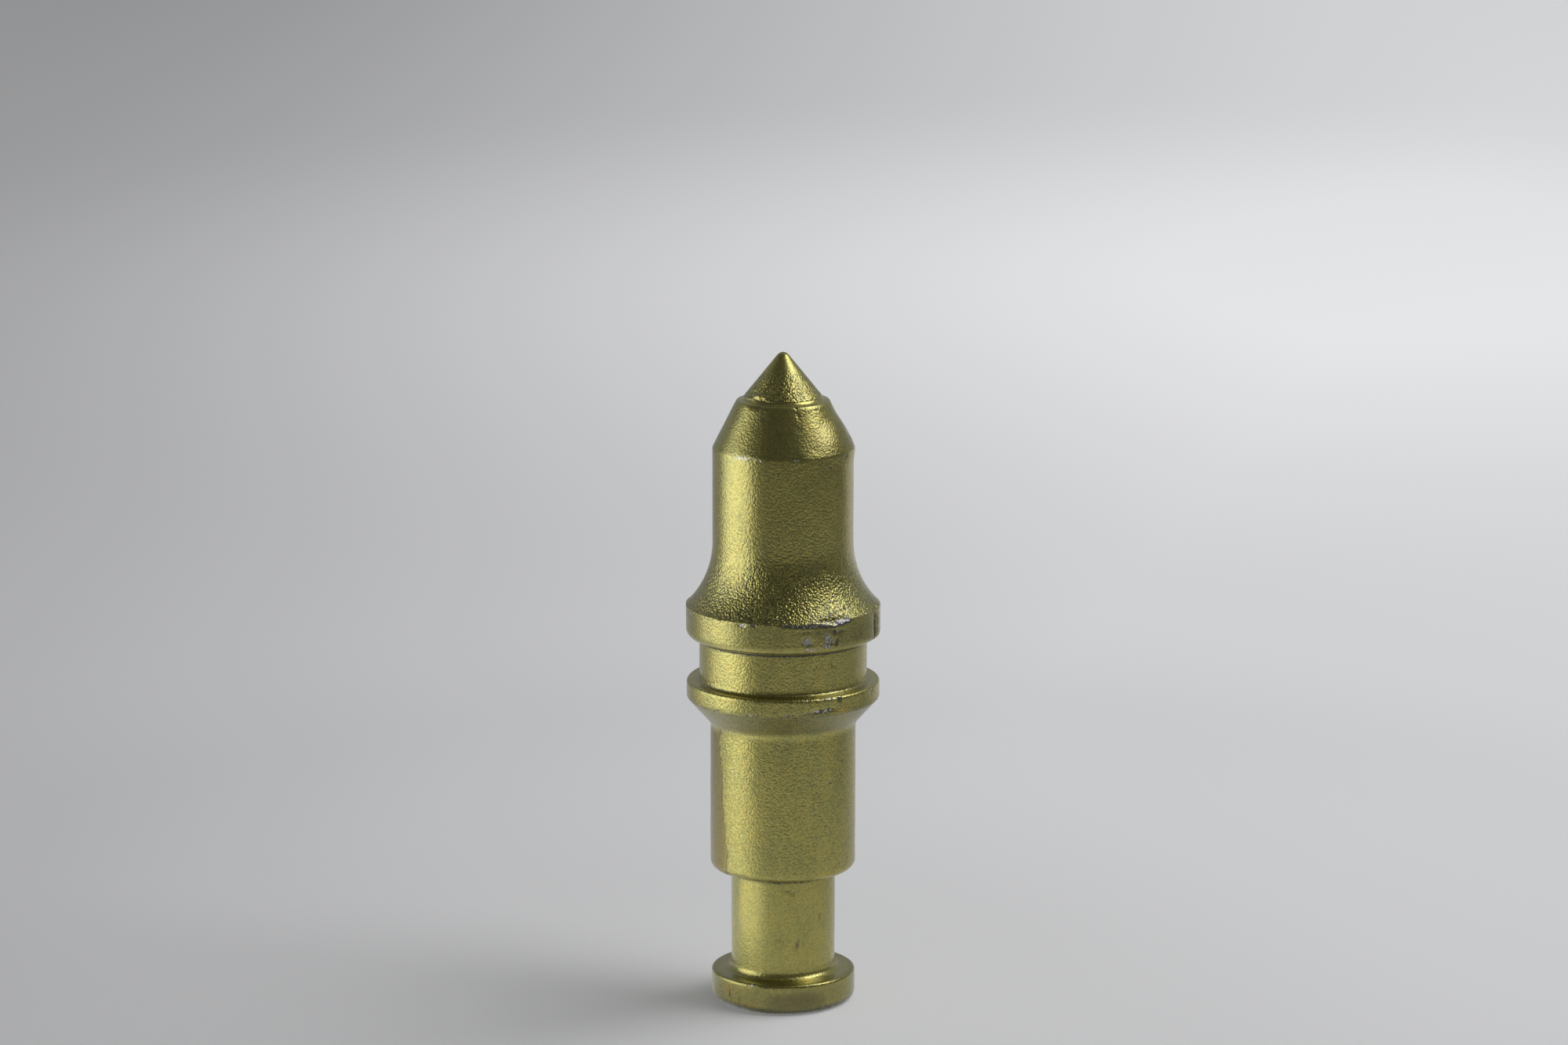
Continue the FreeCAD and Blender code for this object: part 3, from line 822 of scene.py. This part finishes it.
def paint_colour(tree, place, grain, bare, dark):
    """Clouded gold with grimy pits, marks of grime and painted shade, and steel flecked with
    painted shade where it is bare.
    """
    cloud = noise(tree, vector(tree, "MULTIPLY", place, _1=CLOUD_STRETCH), CLOUD_SIZE, detail=3)
    colour = blend(tree, ramp(tree, cloud, *CLOUD_BAND), GOLD_GREEN, GOLD)
    dapple = ramp(tree, noise(tree, place, DAPPLE_SIZE, detail=2), *DAPPLE_BAND)
    warm = times(tree, field(tree, "warm"), WARM_SHARE)
    dapple = compute(tree, "MAXIMUM", times(tree, dapple, DAPPLE_SHARE), warm)
    colour = blend(tree, dapple, colour, GOLD_WARM)
    worn = plus(tree, times(tree, grain, PIT_GRAIN), PIT_LEAST)
    pits = times(tree, ramp(tree, noise(tree, place, PIT_SIZE, detail=1), *PIT_BAND), worn)
    mottle = ramp(tree, noise(tree, place, MOTTLE_SIZE, detail=2), *MOTTLE_BAND)
    grimy = compute(tree, "MAXIMUM", pits, times(tree, mottle, MOTTLE_SHARE))
    colour = blend(tree, grimy, colour, GRIME_AND_SHADE)
    # dark marks, and painted shade in bands and at the chip's rim
    colour = blend(tree, times(tree, dark, DARK_SHARE), colour, GRIME_AND_SHADE)
    # painted shade: dark flecks in the bare steel
    fleck = ramp(tree, noise(tree, place, FLECK_SIZE, detail=3, rough=0.6), *FLECK_BAND)
    colour = blend(tree, bare, colour, blend(tree, fleck, TORN_STEEL_SHADE, STEEL))
    # soot, and painted shade in bands, on the seat, on the skirt's side and on the shank's strip
    return blend(tree, times(tree, field(tree, "soot"), SOOT_AND_SHADE_SHARE), colour, GRIME_AND_SHADE)


def blasted(tree, place):
    """Height of the shot-blasted grain: pebbles, with specks and lumps on them."""
    specks = times(tree, noise(tree, place, SPECK_SIZE, detail=1.5), SPECK_SHARE)
    rises = times(tree, noise(tree, place, LUMP_SIZE, detail=1), LUMP_SHARE)
    return plus(tree, plus(tree, pebbles(tree, place, PEBBLE_SIZE), specks), rises)


def paint(name, roughness):
    """Gold metallic paint over blasted steel, with bare, grimy and warm places and painted shade
    from the fields.
    """
    material, shader = new_material(name)
    tree = material.node_tree
    where = tree.nodes.new("ShaderNodeTexCoord").outputs["Object"]
    place = vector(tree, "SCALE", where, Scale=1 / MM)
    grain = field(tree, "grain")
    grit = noise(tree, place, GRIT_SIZE, detail=4, rough=0.65)
    bare = ragged(tree, field(tree, "bare"), grit, BARE_RAGGED)
    dark = noise(tree, place, DARK_SIZE, detail=4, rough=0.65)
    dark = ragged(tree, field(tree, "dark"), dark, DARK_RAGGED)
    tree.links.new(paint_colour(tree, place, grain, bare, dark), shader.inputs["Base Color"])

    flake = times(tree, noise(tree, place, FLAKE_SIZE, detail=1), FLAKE_ROUGH)
    rough = plus(tree, plus(tree, roughness, flake), times(tree, dark, DARK_ROUGH))
    tree.links.new(rough, shader.inputs["Roughness"])
    metal = compute(tree, "SUBTRACT", METALLIC, times(tree, dark, DARK_DULL))
    tree.links.new(metal, shader.inputs["Metallic"])
    shader.inputs["Coat Weight"].default_value = COAT
    shader.inputs["Coat Roughness"].default_value = COAT_ROUGH

    bump = add(tree, "ShaderNodeBump", Strength=grain, Distance=GRAIN_HEIGHT * MM,
               Height=blasted(tree, place))
    torn = add(tree, "ShaderNodeBump", Strength=bare, Distance=TORN_HEIGHT * MM,
               Height=grit, Normal=bump.outputs[0])
    tree.links.new(torn.outputs[0], shader.inputs["Normal"])
    return material


def dress(piece, node, material):
    """Makes a piece stand for its CAD node, with its finish."""
    piece.data.materials.append(material)
    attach(piece, "root")
    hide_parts(node)


def make_pieces():
    dress(make_body(), BODY_NODE, paint("gold_on_steel", roughness=0.23))
    dress(make_tip(), TIP_NODE, paint("gold_on_carbide", roughness=0.27))
    dress(make_braze(), BRAZE_NODE, paint("gold_on_braze", roughness=0.2))


def floor_level(tree, where, glossy):
    """How bright the floor's glow is: it rises to the right, and has patches."""
    end = times(tree, split(tree, where, "Y"), RISE_SPREAD)
    side = compute(tree, "MINIMUM", split(tree, where, "X"), end)
    side = ramp(tree, side, -RISE_HALF, RISE_HALF)
    level = plus(tree, times(tree, side, FLOOR_RISE), FLOOR_LEFT)
    for centre, radius, bright in PATCHES:
        level = plus(tree, level, times(tree, patch(tree, where, centre, radius), bright))
    for centre, radius, bright in GLEAMS:
        gleam = times(tree, patch(tree, where, centre, radius), glossy)
        level = plus(tree, level, times(tree, gleam, bright))
    return compute(tree, "MINIMUM", level, 1.0)


def make_floor():
    """Plain pale floor that reaches behind the whole picture, a little darker to the left."""
    half = FLOOR_SIZE / 2
    corners = [(-half, -half), (half, -half), (half, half), (-half, half)]
    mesh = bpy.data.meshes.new("floor")
    mesh.from_pydata([(x, y, FLOOR_HEIGHT) for x, y in corners], [], [(0, 1, 2, 3)])
    floor = new_object("floor", mesh)
    material, shader = new_material("pale_floor")
    tree = material.node_tree
    shader.inputs["Roughness"].default_value = 0.6
    shader.inputs["Specular IOR Level"].default_value = 0
    where = tree.nodes.new("ShaderNodeTexCoord").outputs["Object"]
    shade = ramp(tree, split(tree, where, "X"), DIM_UP_TO, PALE_FROM)
    tree.links.new(blend(tree, shade, FLOOR_DIM, FLOOR_PALE), shader.inputs["Base Color"])

    path = tree.nodes.new("ShaderNodeLightPath")
    glossy = path.outputs["Is Glossy Ray"]
    level = floor_level(tree, where, glossy)
    glow = add(tree, "ShaderNodeEmission", Color=FLOOR_GLOW, Strength=level)
    seen = compute(tree, "MAXIMUM", path.outputs["Is Camera Ray"], glossy)
    far = vector(tree, "DISTANCE", where, "Value", _1=(0, 0, 0))
    far = compute(tree, "MAXIMUM", ramp(tree, far, NEAR_UP_TO, FAR_FROM), glossy)
    share = plus(tree, times(tree, far, SHARE_FAR - SHARE_NEAR), SHARE_NEAR)
    mix = add(tree, "ShaderNodeMixShader", Fac=times(tree, seen, share),
              _1=shader.outputs[0], _2=glow.outputs[0])
    tree.links.new(mix.outputs[0], tree.nodes["Material Output"].inputs["Surface"])
    mesh.materials.append(material)


def make_world():
    """Dim grey world, brighter behind the part, and brighter still to the camera."""
    world = bpy.data.worlds.new("studio")
    bpy.context.scene.world = world
    world.use_nodes = True
    tree = world.node_tree
    back = tree.nodes["Background"]
    back.inputs["Color"].default_value = WORLD_COLOUR
    way = tree.nodes.new("ShaderNodeTexCoord").outputs["Generated"]
    behind = ramp(tree, split(tree, way, "Y"), FRONT_UP_TO, BACK_FROM)
    level = plus(tree, times(tree, behind, WORLD_BACK - WORLD_FRONT), WORLD_FRONT)
    path = tree.nodes.new("ShaderNodeLightPath")
    fill = (WORLD_FILL, WORLD_FILL, WORLD_FILL, 1)
    level = blend(tree, path.outputs["Is Glossy Ray"], fill, level)
    seen = times(tree, path.outputs["Is Camera Ray"], BACKDROP_LEVEL)
    level = compute(tree, "MAXIMUM", level, seen)
    tree.links.new(level, back.inputs["Strength"])


def make_lamp(name, location, rotation, width, tall, radiance, spread, mirrored):
    """A softbox that shines along its own -Z, for reflections alone or for matt surfaces alone."""
    data = bpy.data.lights.new(name, "AREA")
    data.shape = "RECTANGLE"
    data.size, data.size_y = width, tall
    data.energy = radiance * math.pi * width * tall
    data.spread = math.radians(spread)
    lamp = new_object(name, data)
    lamp.location = location
    lamp.rotation_euler = [math.radians(angle) for angle in rotation]
    lamp.visible_camera = False
    lamp.visible_diffuse, lamp.visible_glossy = not mirrored, mirrored


def make_lamps():
    """A low softbox close by on the left, a panel that lies before it on the floor, a large flat
    softbox overhead on the right, and one for the floor and other matt surfaces."""
    make_lamp("left_softbox", location=(-0.297, -0.042, 0.14), rotation=(90, 0, -82),
              width=0.34, tall=0.28, radiance=0.95, spread=110, mirrored=True)
    make_lamp("low_panel", location=(-0.1445, -0.036, 0.001), rotation=(180, 0, 14),
              width=0.20, tall=0.085, radiance=0.65, spread=180, mirrored=True)
    make_lamp("overhead_softbox", location=(0.55, 0.005, 0.60), rotation=(0, 0, 0),
              width=0.60, tall=0.46, radiance=4.0, spread=180, mirrored=True)
    make_lamp("floor_softbox", location=(1.015, 0.125, 1.097), rotation=(0, 43, 7),
              width=1.4, tall=1.4, radiance=2.8, spread=180, mirrored=False)


def make_flag():
    """A low black card in front that only reflections show, with a faint glow: a painted reflection
    of the dark room beyond the table.
    """
    turns = [math.radians(turn) for turn in np.linspace(*FLAG_TURN, FLAG_EDGES)]
    low = [(FLAG_AWAY * math.sin(turn), -FLAG_AWAY * math.cos(turn), 0) for turn in turns]
    high = [(x, y, FLAG_TALL) for x, y, _ in low]
    faces = []
    for n in range(FLAG_EDGES - 1):
        faces.append((n, n + 1, FLAG_EDGES + n + 1, FLAG_EDGES + n))
    mesh = bpy.data.meshes.new("flag")
    mesh.from_pydata(low + high, [], faces)
    flag = new_object("flag", mesh)
    flag.visible_camera = flag.visible_diffuse = flag.visible_shadow = False
    material, shader = new_material("black_card")
    shader.inputs["Base Color"].default_value = FLAG_COLOUR
    shader.inputs["Emission Color"].default_value = (1, 1, 1, 1)
    shader.inputs["Emission Strength"].default_value = FLAG_GLOW
    shader.inputs["Roughness"].default_value = 1.0
    mesh.materials.append(material)


def make_camera():
    """Long lens a metre away, looking down on the part."""
    data = bpy.data.cameras.new("camera")
    data.lens = LENS
    data.sensor_width = SENSOR
    camera = new_object("camera", data)
    camera.location = CAMERA_PLACE
    camera.rotation_euler = (math.radians(90 - CAMERA_DOWN), 0, 0)
    bpy.context.scene.camera = camera


make_camera()
make_floor()
make_world()
make_lamps()
make_flag()
make_pieces()
bpy.context.scene.view_settings.view_transform = "Standard"
